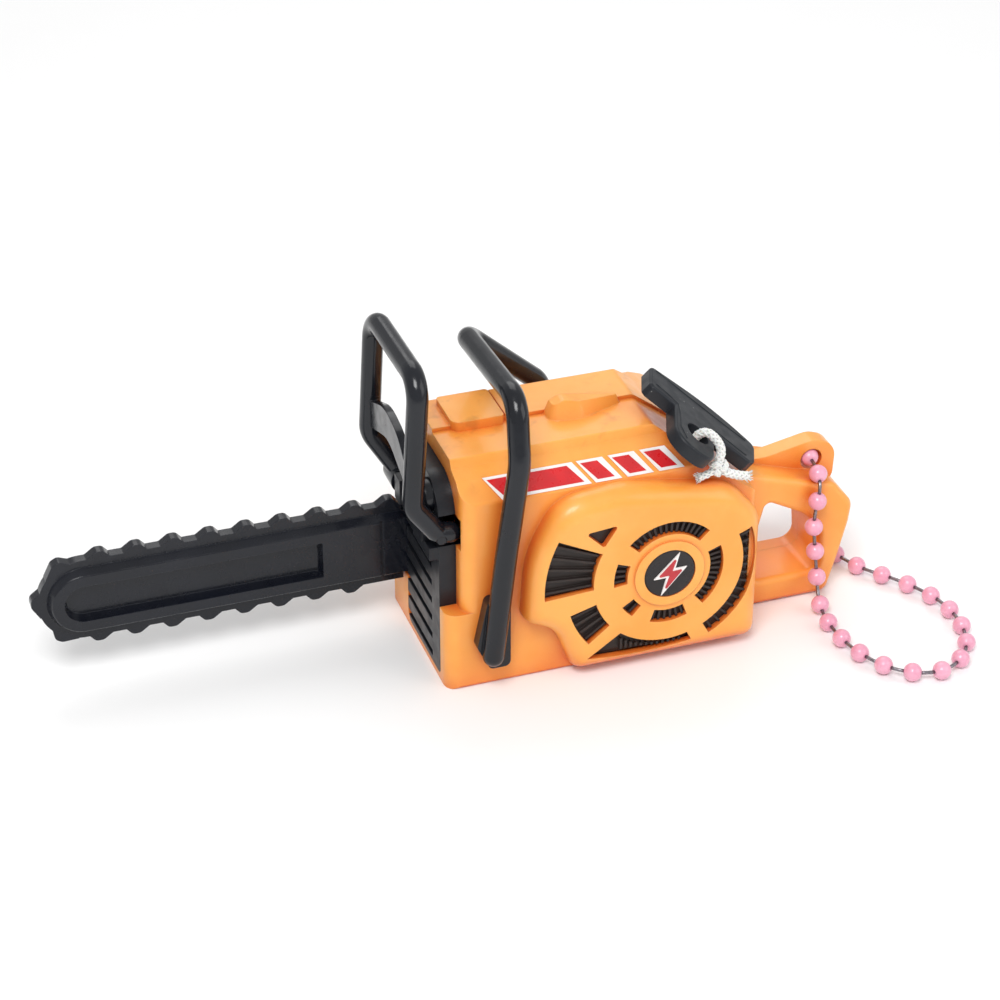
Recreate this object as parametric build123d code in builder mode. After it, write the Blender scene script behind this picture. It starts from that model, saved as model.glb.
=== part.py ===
"""Miniature toy chainsaw on a ball-chain key loop.

Frame: +X runs from the guide bar to the rear handle, -Y is the starter side, +Y the clutch side, +Z up.
Y = 0 is the parting plane of the two housing halves, Z = 0 is the base they stand on, and X = 0 is the axis
of the starter drum. All sizes are in millimetres.
"""
import os
from math import cos, pi, radians, sin, tan

from build123d import *

os.makedirs("parts", exist_ok=True)

# ---------------------------------------------------------------- driving dimensions
WALL = 1.1
HALF_WIDTH = 12.0
BODY_FRONT = -26.2
BLOCK_FRONT = -28.4
BLOCK_TOP = 11.2
BODY_REAR = 13.0
LEFT_TOP = 31.0
RIGHT_TOP = 31.5
SIDE_TOP = 27.0
SLOPE_START = 0.5
SLOPE_ANGLE = 37.0

DRUM_Z = 14.0
BULGE_FACE = 15.2
BULGE_WALL = 0.9
BULGE_RIM = 2.4
INSERT_THICK = 0.5

ROPE_DIA = 1.3
ROPE_X = 4.2
ROPE_Y = -10.0
EYELET_R = 1.25
EYELET_BORE_R = 0.85

BADGE_R = 3.4
BADGE_BOSS_R = 4.7
BADGE_BOSS_RISE = 0.3
BADGE_THICK = 0.6

BAR_Y = 6.3
BAR_Z = 12.1
BAND_HALF = 0.7
PLATE_PROUD = 1.2
BAND_RADIUS = 5.7
TOOTH_HEIGHT = 0.88
TOOTH_PITCH = 4.71
NOSE_X = -70.4

HANDLE_NEAR = 6.9
HANDLE_FAR = 2.7
EAR_NEAR = 3.3
EAR_THICK = 2.4
KEY_HOLE = (24.6, 19.0)
KEY_HOLE_R = 1.5
CHAIN_DIA = 2.4

FRONT_TUBE = 2.8
GUARD_TUBE = 2.7

GEAR_MODULE = 0.45
DRUM_TEETH = 24
IDLER_PINION_TEETH = 10
IDLER_TEETH = 22
BUZZER_TEETH = 10
SCREW_R = 0.8


# ---------------------------------------------------------------- helpers
def save(builder, name):
    """Label a finished piece and write it to its own file."""
    builder.part.label = name
    export_step(builder.part, f"parts/{name}.step")


def outline(points, radii, mode=Mode.ADD):
    """Closed polygon of points with one corner radius for each, made into a face of the current sketch."""
    with BuildLine() as edge:
        FilletPolyline(*points, radius=radii, close=True)
    make_face(edge.edges(), mode=mode)


def slope_height(x, top):
    """Height of the rear slope at x, for a half whose flat top is at the height top."""
    return top - max(0.0, x - SLOPE_START) * tan(radians(SLOPE_ANGLE))


def polar(radius, angle):
    """Point on a circle about the drum axis in the XZ plane; the angle is in degrees."""
    return (radius * cos(radians(angle)), DRUM_Z + radius * sin(radians(angle)))


# ---------------------------------------------------------------- side outlines shared by the halves
def body_side(top, inset):
    """Side outline of a half: flat top, sloping rear shoulder and flat base, inset by a wall thickness."""
    x_rear = BODY_REAR - inset
    run = inset * tan(radians(SLOPE_ANGLE / 2))
    points = [
        (BLOCK_FRONT - 5, inset),
        (x_rear, inset),
        (x_rear, slope_height(BODY_REAR, top) - run),
        (SLOPE_START - run, top - inset),
        (BLOCK_FRONT - 5, top - inset),
    ]
    outline(points, [0, 1.2, 1.6, 1.2, 0])


def body_section(sign, top, inset):
    """Cross-section of a half in the YZ plane: side wall, slanted shoulder, small ledge and flat top."""
    wall = sign * (HALF_WIDTH - inset)
    points = [
        (0, 0),
        (wall, 0),
        (wall, SIDE_TOP - inset * 0.5),
        (sign * (9.4 - inset * 0.4), 29.2 - inset),
        (sign * (7.6 - inset * 0.4), 29.9 - inset),
        (sign * 7.0, top - inset),
        (0, top - inset),
    ]
    outline(points, [0, 0.5, 0.6, 0.5, 0.2, 0.3, 0])


def body_plan(sign, front, inset, corner):
    """Plan of a half with a rounded front corner."""
    wall = sign * (HALF_WIDTH - inset)
    points = [(front + inset, 0), (front + inset, wall), (BODY_REAR - inset, wall), (BODY_REAR - inset, 0)]
    outline(points, [0, corner, 0.8, 0])


def block(sign, top, inset, corner):
    """One half of the body as a plain solid, or its cavity when inset is the wall thickness."""
    with BuildPart() as half:
        with BuildSketch(Plane.XY.offset(inset)):
            body_plan(sign, BODY_FRONT, inset, corner)
        extrude(amount=40)
        with BuildSketch(Plane.XY.offset(inset)):
            body_plan(sign, BLOCK_FRONT, inset, corner)
        extrude(amount=BLOCK_TOP - 2 * inset)
        with BuildSketch(Plane.YZ.offset(BLOCK_FRONT - 5)):
            body_section(sign, top, inset)
        extrude(amount=60, mode=Mode.INTERSECT)
        with BuildSketch(Plane.XZ):
            body_side(top, inset)
        extrude(amount=-sign * 20, mode=Mode.INTERSECT)
    return half.part


# ---------------------------------------------------------------- rear handle
HANDLE_OUTER = [
    (BODY_REAR - 0.9, 21.2),
    (22.0, 18.1),
    (26.6, 16.9),
    (29.4, 13.4),
    (29.1, 10.6),
    (27.9, 5.6),
    (26.4, 0.1),
    (BODY_REAR - 0.9, 0.1),
]
HANDLE_RADII = [0, 3.0, 2.4, 2.0, 3.0, 4.0, 1.6, 0]
FINGER_GAP = [(17.0, 15.9), (22.0, 13.2), (24.6, 11.0), (25.2, 3.8), (15.6, 3.8), (15.6, 10.0)]
FINGER_RADII = [0.8, 1.0, 2.0, 1.8, 1.0, 3.0]
EAR_OUTER = [
    (BODY_REAR - 0.9, 20.6),
    (18.2, 20.6),
    (24.8, 21.9),
    (28.0, 20.8),
    (27.8, 16.4),
    (26.4, 13.0),
    (14.0, 13.0),
]
EAR_RADII = [0, 6.0, 3.0, 2.6, 2.0, 0.5, 0]


def rear_handle(depth):
    """Part of the rear finger loop from the parting plane out to the given signed depth."""
    side = 1 if depth > 0 else -1
    with BuildPart() as handle:
        with BuildSketch(Plane.XZ):
            outline(HANDLE_OUTER, HANDLE_RADII)
            outline(FINGER_GAP, FINGER_RADII, Mode.SUBTRACT)
        extrude(amount=-depth)
        rims = handle.faces().sort_by(Axis.Y)[0 if side < 0 else -1].edges()
        fillet(rims, radius=0.8)
    return handle.part


def key_ear():
    """Thin ear with the key-ring hole, standing on top of the finger loop."""
    with BuildPart() as ear:
        with BuildSketch(Plane.XZ.offset(EAR_NEAR - EAR_THICK)):
            outline(EAR_OUTER, EAR_RADII)
            outline(FINGER_GAP, FINGER_RADII, Mode.SUBTRACT)
            with Locations(KEY_HOLE):
                Circle(KEY_HOLE_R, mode=Mode.SUBTRACT)
        extrude(amount=EAR_THICK)
    return ear.part


# ---------------------------------------------------------------- starter bulge on the left half
BULGE_OUTLINE = [
    (12.8, 1.0),
    (12.8, 19.4),
    (8.6, 24.4),
    (-6.0, 27.0),
    (-14.4, 26.2),
    (-18.3, 19.0),
    (-18.9, 9.6),
    (-14.6, 7.6),
    (-12.2, 1.0),
]
BULGE_RADII = [1.5, 4.0, 6.0, 12.0, 6.0, 16.0, 1.6, 5.0, 1.5]


def bulge(inset):
    """Starter cover bulge, from inside the side wall to its face; inset gives the cavity."""
    with BuildPart() as cover:
        with BuildSketch(Plane.XZ.offset(HALF_WIDTH - 3)):
            outline(BULGE_OUTLINE, BULGE_RADII)
            if inset:
                offset(amount=-inset, kind=Kind.INTERSECTION)
        extrude(amount=BULGE_FACE - HALF_WIDTH + 3 - inset)
        rim = cover.faces().sort_by(Axis.Y)[0].edges()
        fillet(rim, radius=BULGE_RIM - inset)
    return cover.part


def ring_vent(inner, outer, start, end):
    """Sketch face of one vent: a piece of a ring about the drum axis, between two angles in degrees."""
    middle = (start + end) / 2
    with BuildLine() as edge:
        Polyline(polar(outer, start), polar(inner, start))
        ThreePointArc(polar(inner, start), polar(inner, middle), polar(inner, end))
        Polyline(polar(inner, end), polar(outer, end))
        ThreePointArc(polar(outer, end), polar(outer, middle), polar(outer, start))
    make_face(edge.edges())


RING_VENTS = [
    (5.6, 7.4, 44, 137),
    (5.6, 7.4, -50, 21),
    (5.6, 7.4, 251, 291),
    (5.6, 7.4, 213, 229),
    (5.6, 7.4, 159, 186),
    (10.1, 16.6, 153, 183),
    (10.1, 13.7, 196, 219),
    (10.1, 12.0, 299, 382),
]
TRIANGLE_VENT = [(-11.3, 22.0), (-6.9, 22.4), (-8.8, 19.5)]
BOTTOM_VENT = [polar(10.1, 231), polar(10.1, 259), polar(10.1, 286), (3.4, 3.0), (-4.0, 2.5), (-10.8, 3.1)]


def vents():
    """All the vents of the starter cover as one sketch."""
    for vent in RING_VENTS:
        ring_vent(*vent)
    outline(TRIANGLE_VENT, [0.3, 0.3, 0.3])
    with BuildLine() as edge:
        ThreePointArc(*BOTTOM_VENT[:3])
        Polyline(BOTTOM_VENT[2], BOTTOM_VENT[3])
        ThreePointArc(*BOTTOM_VENT[3:])
        Polyline(BOTTOM_VENT[5], BOTTOM_VENT[0])
    make_face(edge.edges())


# ---------------------------------------------------------------- front opening and screw places
PANEL_EDGE = -9.2
PANEL_FAR = 4.4
PANEL_TOP = 28.6
PANEL_POINTS = [(PANEL_EDGE, 0.8), (PANEL_EDGE, PANEL_TOP), (PANEL_FAR, PANEL_TOP), (PANEL_FAR, 0.8)]
PANEL_RADII = [0.8, 5.0, 1.0, 1.5]
PANEL_GAP = 0.05

FRONT_SCREWS = [(-21.6, 3.6), (-21.6, 25.6)]
REAR_SCREWS = [(27.1, 9.6), (14.6, 17.4)]
SCREW_TIP = -4.0
SCREW_HEAD_R = 1.5
SCREW_HEAD = 1.0
BOSS_R = 1.9

PILLARS = [(8.0, 20.6), (10.0, 3.4), (-13.5, 22.8), (-16.6, 5.0)]
PILLAR_R = 1.5
PLATE_FRONT = -5.8
PLATE_BACK = -4.8

GUARD_PIVOT = (-28.3, 21.6)
GUARD_Y = 9.0
HANDLE_PEG = (-22.2, 9.4)
FAR_PEG = (-5.0, 22.0)
PEG_R = 0.9
BOLT_PLACES = [(-23.8, 9.6), (-23.8, 14.6)]
BOLT_R = 0.9


def cylinder_y(radius, center, y_from, y_to, mode=Mode.ADD):
    """Round bar along Y between two depths, centred at an (x, z) place."""
    with Locations((center[0], (y_from + y_to) / 2, center[1])):
        Cylinder(radius, y_to - y_from, rotation=(90, 0, 0), mode=mode)


def box_between(low, high, mode=Mode.ADD):
    """Axis-aligned block between two opposite corners."""
    size = [b - a for a, b in zip(low, high)]
    middle = tuple((a + b) / 2 for a, b in zip(low, high))
    with Locations(middle):
        Box(*size, mode=mode)


# ---------------------------------------------------------------- top details shared by the halves
def choke_bump(sign):
    """Half of the teardrop bump on the seam: blunt at the front, tapering down to the rear."""
    with BuildPart() as bump:
        with BuildSketch(Plane.XY.offset(30.4)):
            with BuildLine() as edge:
                FilletPolyline(
                    (-11.8, -2.6), (-7.4, -3.2), (-1.2, -0.9), (-1.2, 0.8), (-7.4, 3.4), (-11.8, 3.0),
                    radius=[1.8, 2.5, 0.7, 0.7, 2.5, 1.8], close=True,
                )
            make_face(edge.edges())
        extrude(amount=3.2, taper=22)
        with BuildSketch(Plane.XZ.offset(-6)):
            outline([(-13, 30.0), (-13, 31.8), (-9.4, 33.4), (-1.0, 32.0), (-1.0, 30.0)], [0, 0, 1.2, 0, 0])
        extrude(amount=12, mode=Mode.INTERSECT)
        with BuildSketch(Plane.XZ):
            with Locations((-6, 32)):
                Rectangle(30, 10)
        extrude(amount=-sign * 6, mode=Mode.INTERSECT)
    return bump.part


LEFT_SHELL = block(-1, LEFT_TOP, 0, 1.8)
LEFT_CAVITY = block(-1, LEFT_TOP, WALL, 1.0)
RIGHT_SHELL = block(1, RIGHT_TOP, 0, 1.8)
RIGHT_CAVITY = block(1, RIGHT_TOP, WALL, 1.0)

with BuildPart() as left_outer:
    add(LEFT_SHELL)
    add(bulge(0))

with BuildPart() as gearbox_pillars:
    for place in PILLARS:
        cylinder_y(PILLAR_R, place, -BULGE_FACE, PLATE_FRONT)
    add(left_outer.part, mode=Mode.INTERSECT)

# ---------------------------------------------------------------- left housing half
with BuildPart() as left_housing:
    add(left_outer.part)
    add(LEFT_CAVITY, mode=Mode.SUBTRACT)
    add(bulge(BULGE_WALL), mode=Mode.SUBTRACT)
    add(rear_handle(-HANDLE_NEAR))
    add(key_ear())
    add(choke_bump(-1))
    # seat of the front panel
    with BuildSketch(Plane.YZ.offset(BLOCK_FRONT - 1)):
        outline(PANEL_POINTS, PANEL_RADII)
    extrude(amount=5, mode=Mode.SUBTRACT)
    # vents
    with BuildSketch(Plane.XZ.offset(BULGE_FACE + 1)):
        vents()
    extrude(amount=-2.2, mode=Mode.SUBTRACT)
    # raised ring with the badge seat outside and the axle boss inside
    cylinder_y(BADGE_BOSS_R, (0, DRUM_Z), -BULGE_FACE - BADGE_BOSS_RISE, -BULGE_FACE + BULGE_WALL)
    cylinder_y(2.2, (0, DRUM_Z), -BULGE_FACE + 0.2, -12.2)
    cylinder_y(BADGE_R + 0.05, (0, DRUM_Z), -BULGE_FACE - 2, -BULGE_FACE + 0.3, Mode.SUBTRACT)
    cylinder_y(1.02, (0, DRUM_Z), -14.2, -12.0, Mode.SUBTRACT)
    add(gearbox_pillars.part)
    for place in PILLARS:
        cylinder_y(0.62, place, -9.4, PLATE_FRONT, Mode.SUBTRACT)
    # rope hole through the shoulder
    with BuildSketch(Plane.XY.offset(24)):
        with Locations((ROPE_X, ROPE_Y)):
            Circle(1.27)
    extrude(amount=8, mode=Mode.SUBTRACT)
    # slot for the lower end of the hand guard
    box_between((-29, -10.8, 20.0), (-24.4, -7.2, 24.4), Mode.SUBTRACT)
    # peg hole of the front handle
    cylinder_y(PEG_R + 0.02, HANDLE_PEG, -HALF_WIDTH - 1, -HALF_WIDTH + 3, Mode.SUBTRACT)
    # screw bosses
    for place in FRONT_SCREWS:
        cylinder_y(BOSS_R, place, -HALF_WIDTH + WALL / 2, 0)
    for place in FRONT_SCREWS + REAR_SCREWS:
        cylinder_y(SCREW_R + 0.02, place, SCREW_TIP - 0.2, 0, Mode.SUBTRACT)
save(left_housing, "left_housing")

# ---------------------------------------------------------------- right housing half
with BuildPart() as right_housing:
    add(RIGHT_SHELL)
    add(RIGHT_CAVITY, mode=Mode.SUBTRACT)
    add(rear_handle(HANDLE_FAR))
    add(choke_bump(1))
    # spring latch of the filter lid and the lid's rear edge
    with BuildSketch(Plane.XY.offset(RIGHT_TOP - 0.6)):
        outline([(-23.8, -1.0), (-23.8, 6.0), (-17.0, 6.0), (-17.0, -1.0)], [1.2, 0.5, 0.5, 0.5])
    extrude(amount=1.4)
    box_between((-16.6, 0.0, RIGHT_TOP - 0.5), (-15.9, 6.4, RIGHT_TOP + 0.35))
    with BuildSketch(Plane.YZ.offset(BLOCK_FRONT - 1)):
        outline(PANEL_POINTS, PANEL_RADII)
    extrude(amount=5, mode=Mode.SUBTRACT)
    # slot for the root of the guide bar
    box_between((BLOCK_FRONT - 1, 4.35, 7.3), (-24.8, 8.25, 16.9), Mode.SUBTRACT)
    # bar bolts, handle peg
    for place in BOLT_PLACES:
        cylinder_y(BOLT_R + 0.05, place, 10, 13, Mode.SUBTRACT)
    cylinder_y(PEG_R + 0.02, FAR_PEG, 10, 13, Mode.SUBTRACT)
    # screw bosses with head recesses
    for place in FRONT_SCREWS:
        cylinder_y(BOSS_R, place, 0, HALF_WIDTH - WALL / 2)
        cylinder_y(SCREW_HEAD_R + 0.1, place, HALF_WIDTH - 1.5, HALF_WIDTH + 1, Mode.SUBTRACT)
        cylinder_y(SCREW_R + 0.05, place, 0, HALF_WIDTH, Mode.SUBTRACT)
    for place in REAR_SCREWS:
        cylinder_y(SCREW_HEAD_R + 0.1, place, HANDLE_FAR - 1.2, HANDLE_FAR + 1, Mode.SUBTRACT)
        cylinder_y(SCREW_R + 0.05, place, 0, HANDLE_FAR, Mode.SUBTRACT)
save(right_housing, "right_housing")


# ---------------------------------------------------------------- screws
def screw(place, head_seat, tip, radius, head_r, head):
    """Pan-head screw along Y: the head lies on head_seat and the shank ends at tip."""
    with BuildPart() as piece:
        cylinder_y(radius, place, tip, head_seat)
        cylinder_y(head_r, place, head_seat, head_seat + head)
        chamfer(piece.edges().filter_by(GeomType.CIRCLE).sort_by(Axis.Y)[0], length=0.3)
        fillet(piece.edges().filter_by(GeomType.CIRCLE).sort_by(Axis.Y)[-1], radius=0.3)
        with Locations((place[0], head_seat + head, place[1])):
            Box(0.35, 0.8, 1.8 * head_r, mode=Mode.SUBTRACT)
            Box(1.8 * head_r, 0.8, 0.35, mode=Mode.SUBTRACT)
    return piece.part


with BuildPart() as housing_screws:
    for place in FRONT_SCREWS:
        add(screw(place, HALF_WIDTH - 1.5, SCREW_TIP, SCREW_R, SCREW_HEAD_R, SCREW_HEAD))
    for place in REAR_SCREWS:
        add(screw(place, HANDLE_FAR - 1.2, SCREW_TIP, SCREW_R, SCREW_HEAD_R, SCREW_HEAD))
save(housing_screws, "housing_screws")

with BuildPart() as gearbox_screws:
    for place in PILLARS:
        add(screw(place, PLATE_BACK, -9.0, 0.6, 1.15, 0.7))
save(gearbox_screws, "gearbox_screws")

# ---------------------------------------------------------------- ribbed insert behind the vents
INSERT_FACE = BULGE_FACE - BULGE_WALL
RIB_HEIGHT = 0.55
RIB_THICK = 0.3
RIB_STEP = 6.5


def insert_layer(inset, depth, thickness):
    """One layer of the insert, following the bulge's outline at a distance; depth is its inner face."""
    with BuildPart() as layer:
        with BuildSketch(Plane.XZ.offset(depth)):
            outline(BULGE_OUTLINE, BULGE_RADII)
            offset(amount=-inset, kind=Kind.INTERSECTION)
            with Locations((0, DRUM_Z)):
                Circle(2.4, mode=Mode.SUBTRACT)
            with Locations(*PILLARS):
                Circle(PILLAR_R + 0.1, mode=Mode.SUBTRACT)
        extrude(amount=thickness)
    return layer.part


with BuildPart() as starter_vent_insert:
    with BuildSketch(Plane.XZ.offset(INSERT_FACE - INSERT_THICK)):
        for inner, outer, start, end in RING_VENTS:
            ribs = max(2, round((end - start) / RIB_STEP))
            for rib in range(ribs):
                angle = start + (rib + 0.5) * (end - start) / ribs
                reach = outer - inner - 0.3
                with Locations(polar(inner + 0.15 + reach / 2, angle)):
                    Rectangle(reach, RIB_THICK, rotation=angle)
        for angle in range(236, 284, 4):
            x, z = polar(10.9, angle)
            with Locations((x, (z + 3.4) / 2)):
                Rectangle(RIB_THICK, max(0.4, z - 3.4))
    extrude(amount=INSERT_THICK - 0.05 + RIB_HEIGHT)
    add(insert_layer(1.9, INSERT_FACE - INSERT_THICK, INSERT_THICK + 1), mode=Mode.INTERSECT)
    add(insert_layer(1.7, INSERT_FACE - INSERT_THICK, INSERT_THICK / 2))
    add(insert_layer(2.35, INSERT_FACE - INSERT_THICK, INSERT_THICK - 0.02))
save(starter_vent_insert, "starter_vent_insert")

# ---------------------------------------------------------------- badge
BADGE_FACE = BULGE_FACE - 0.3 + BADGE_THICK
with BuildPart() as starter_badge:
    cylinder_y(BADGE_R, (0, DRUM_Z), -BADGE_FACE, -BADGE_FACE + BADGE_THICK)
    fillet(starter_badge.edges().sort_by(Axis.Y)[0], radius=0.2)
save(starter_badge, "starter_badge")

BOLT_THICK = 0.25
BOLT_SHAPE = [(0.9, 2.5), (-1.7, -0.2), (-0.1, -0.1), (-0.9, -2.5), (1.7, 0.5), (0.2, 0.4)]
with BuildPart() as badge_bolt:
    with BuildSketch(Plane.XZ.offset(BADGE_FACE)):
        with BuildLine() as edge:
            FilletPolyline(*[(x, z + DRUM_Z) for x, z in BOLT_SHAPE], radius=0.15, close=True)
        make_face(edge.edges())
    extrude(amount=BOLT_THICK)
save(badge_bolt, "badge_bolt")

# ---------------------------------------------------------------- black front panel
PANEL_BACK = -24.6
PANEL_SKIN = 1.3
with BuildPart() as front_panel:
    with BuildSketch(Plane.YZ.offset(BLOCK_FRONT)):
        outline(PANEL_POINTS, PANEL_RADII)
        offset(amount=-PANEL_GAP, kind=Kind.INTERSECTION)
    extrude(amount=PANEL_BACK - BLOCK_FRONT)
    with BuildSketch(Plane.YZ.offset(BLOCK_FRONT + PANEL_SKIN)):
        outline(PANEL_POINTS, PANEL_RADII)
        offset(amount=-1.2, kind=Kind.INTERSECTION)
    extrude(amount=10, mode=Mode.SUBTRACT)
    for slot in range(6):
        z = 1.6 + 2.7 * slot
        box_between((BLOCK_FRONT - 1, -6.0, z), (BLOCK_FRONT + 0.7, PANEL_FAR + 1, z + 0.9), Mode.SUBTRACT)
    # lug under the guard, and the two hinge blocks
    box_between((-29.6, -9.1, 18.2), (BLOCK_FRONT + 0.6, -2.4, 20.0))
    box_between((-29.9, -7.0, 19.8), (BLOCK_FRONT + 0.6, -4.2, 23.3))
    box_between((-29.9, 2.2, 19.8), (BLOCK_FRONT + 0.6, PANEL_FAR - PANEL_GAP, 23.3))
    box_between((BLOCK_FRONT - 2, -10, 20.05), (PANEL_BACK + 1, -7.2, 24.4), Mode.SUBTRACT)
    cylinder_y(0.61, GUARD_PIVOT, -8, -4.5, Mode.SUBTRACT)
    cylinder_y(0.71, GUARD_PIVOT, 2.3, 5, Mode.SUBTRACT)
    # hole for the exhaust boss
    with BuildSketch(Plane.YZ.offset(BLOCK_FRONT - 1)):
        with Locations((-5.6, 25.7)):
            Circle(1.22)
    extrude(amount=4, mode=Mode.SUBTRACT)
save(front_panel, "front_panel")

with BuildPart() as exhaust_boss:
    with BuildSketch(Plane.YZ.offset(BLOCK_FRONT)):
        with Locations((-5.6, 25.7)):
            Circle(2.2)
    extrude(amount=-1.4)
    fillet(exhaust_boss.edges().sort_by(Axis.X)[0], radius=0.5)
    with BuildSketch(Plane.YZ.offset(BLOCK_FRONT)):
        with Locations((-5.6, 25.7)):
            Circle(1.2)
    extrude(amount=PANEL_SKIN + 0.3)
save(exhaust_boss, "exhaust_boss")

# ---------------------------------------------------------------- guide bar with its chain band
BAR_ROOT_X = -22.0
BAR_GAP_Y = 0.05
TOOTH = [(-2.3, -0.4), (-0.5, TOOTH_HEIGHT), (0.5, TOOTH_HEIGHT), (1.6, -0.4)]
TOOTH_RADII = [0, 0.9, 0.8, 0]


def tooth(x, z, angle):
    """Rounded chain tooth standing on the band's edge at (x, z), turned by angle in degrees."""
    turn = radians(angle)
    points = []
    for along, up in TOOTH:
        points.append((x + along * cos(turn) - up * sin(turn), z + along * sin(turn) + up * cos(turn)))
    outline(points, TOOTH_RADII)


def bar_outline(half, x_root):
    """Long bar outline with a round nose, of the given half height, from the root to the nose."""
    with BuildLine() as edge:
        Polyline((NOSE_X, BAR_Z + half), (x_root, BAR_Z + half), (x_root, BAR_Z - half), (NOSE_X, BAR_Z - half))
        ThreePointArc((NOSE_X, BAR_Z - half), (NOSE_X - half, BAR_Z), (NOSE_X, BAR_Z + half))
    make_face(edge.edges())


def bar_pocket():
    """Shallow pocket in a face of the bar, round at the nose end."""
    with BuildLine() as edge:
        Polyline((-70.4, BAR_Z + 2.6), (-39.6, BAR_Z + 2.6), (-39.6, BAR_Z - 2.6), (-70.4, BAR_Z - 2.6))
        ThreePointArc((-70.4, BAR_Z - 2.6), (-73.0, BAR_Z), (-70.4, BAR_Z + 2.6))
    make_face(edge.edges())


with BuildPart() as guide_bar:
    with BuildSketch(Plane.XZ.offset(-(BAR_Y + BAND_HALF))):
        bar_outline(BAND_RADIUS, -28.6)
        for k in range(8):
            tooth(-34.9 - TOOTH_PITCH * k, BAR_Z + BAND_RADIUS, 0)
            tooth(-35.8 - TOOTH_PITCH * k, BAR_Z - BAND_RADIUS, 180)
        tooth(-30.3, BAR_Z + BAND_RADIUS, 0)
        for angle in (118, 175, 237):
            x = NOSE_X + BAND_RADIUS * cos(radians(angle))
            z = BAR_Z + BAND_RADIUS * sin(radians(angle))
            tooth(x, z, angle - 90)
    extrude(amount=2 * BAND_HALF)
    for side in (-1, 1):
        with BuildSketch(Plane.XZ.offset(-(BAR_Y + side * BAND_HALF))):
            bar_outline(4.65, -26.0)
        extrude(amount=-side * (PLATE_PROUD - BAR_GAP_Y / 2), taper=26)
    fillet(guide_bar.edges().filter_by(GeomType.CIRCLE).group_by(Axis.Y)[0], radius=0.25)
    for side in (-1, 1):
        face = BAR_Y + side * (BAND_HALF + PLATE_PROUD)
        with BuildSketch(Plane.XZ.offset(-face)):
            bar_pocket()
        extrude(amount=side * 1.3, taper=18, mode=Mode.SUBTRACT)
        box_between((-31.9, face - 0.3, BAR_Z - 5), (-31.5, face + 0.3, BAR_Z + 5), Mode.SUBTRACT)
    # root tongue held inside the right housing
    box_between((-27.5, 4.5, BAR_Z - 3.9), (BAR_ROOT_X, 8.1, BAR_Z + 3.9))
    for place in BOLT_PLACES:
        cylinder_y(BOLT_R + 0.05, place, 4, 9, Mode.SUBTRACT)
save(guide_bar, "guide_bar")

# ---------------------------------------------------------------- clutch cover and bar bolts
COVER_FACE = 14.5
COVER_POINTS = [(-27.0, 4.0), (-27.0, 18.2), (-8.0, 18.2), (-2.4, 12.0), (-2.4, 2.2), (-24.0, 2.2)]
COVER_RADII = [1.5, 2.0, 5.0, 4.0, 2.0, 1.5]

with BuildPart() as clutch_cover:
    with BuildSketch(Plane.XZ.offset(-HALF_WIDTH)):
        outline(COVER_POINTS, COVER_RADII)
    extrude(amount=-(COVER_FACE - HALF_WIDTH))
    fillet(clutch_cover.faces().sort_by(Axis.Y)[-1].edges(), radius=0.9)
    with BuildSketch(Plane.XZ.offset(-HALF_WIDTH)):
        outline(COVER_POINTS, COVER_RADII)
        offset(amount=-1.2, kind=Kind.INTERSECTION)
    extrude(amount=-1.4, mode=Mode.SUBTRACT)
    for place in BOLT_PLACES:
        cylinder_y(2.2, place, HALF_WIDTH, COVER_FACE - 0.6)
        cylinder_y(BOLT_R + 0.05, place, HALF_WIDTH - 1, COVER_FACE + 1, Mode.SUBTRACT)
    for k in range(5):
        x = -16.4 + 2.4 * k
        box_between((x, COVER_FACE - 0.5, 5.0), (x + 1.0, COVER_FACE + 1, 13.4), Mode.SUBTRACT)
save(clutch_cover, "clutch_cover")

with BuildPart() as bar_bolts:
    for place in BOLT_PLACES:
        cylinder_y(BOLT_R, place, 4.8, COVER_FACE)
        cylinder_y(1.9, place, COVER_FACE, COVER_FACE + 0.4)
        with BuildSketch(Plane.XZ.offset(-COVER_FACE - 0.4)):
            with Locations(place):
                RegularPolygon(1.6, 6)
        extrude(amount=-1.3)
save(bar_bolts, "bar_bolts")


# ---------------------------------------------------------------- bent tubes
def bend_radii(points):
    """Largest tangent arc at each corner: 0.45 of the shorter run over the tangent of half the turn."""
    radii = []
    for before, at, after in zip(points, points[1:], points[2:]):
        run_in = Vector(*at) - Vector(*before)
        run_out = Vector(*after) - Vector(*at)
        half_turn = radians(run_in.get_angle(run_out)) / 2
        radii.append(0.45 * min(run_in.length, run_out.length) / tan(half_turn))
    return radii


def bent_tube(points, radii, diameter):
    """Round tube along straight runs joined by tangent arcs."""
    with BuildPart() as tube:
        with BuildLine() as path:
            FilletPolyline(*points, radius=radii)
        with BuildSketch(Plane(origin=path.line @ 0, z_dir=path.line % 0)):
            Circle(diameter / 2)
        sweep(path=path.line)
    return tube.part


FRONT_ROUTE = [
    (-22.9, -13.9, 5.6),
    (-21.2, -13.9, 20.4),
    (-19.5, -13.9, 33.0),
    (-19.1, -11.6, 40.6),
    (-18.7, 9.4, 38.7),
    (-7.5, 13.6, 27.8),
    (-5.0, 13.6, 22.0),
]
FRONT_BENDS = [12.0, 8.0, 3.2, 3.0, 3.5]
FOOT_PAD = [(-23.5, 13.6), (-20.5, 13.6), (-20.5, 3.4), (-23.2, 3.4), (-24.9, 6.9)]

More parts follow.
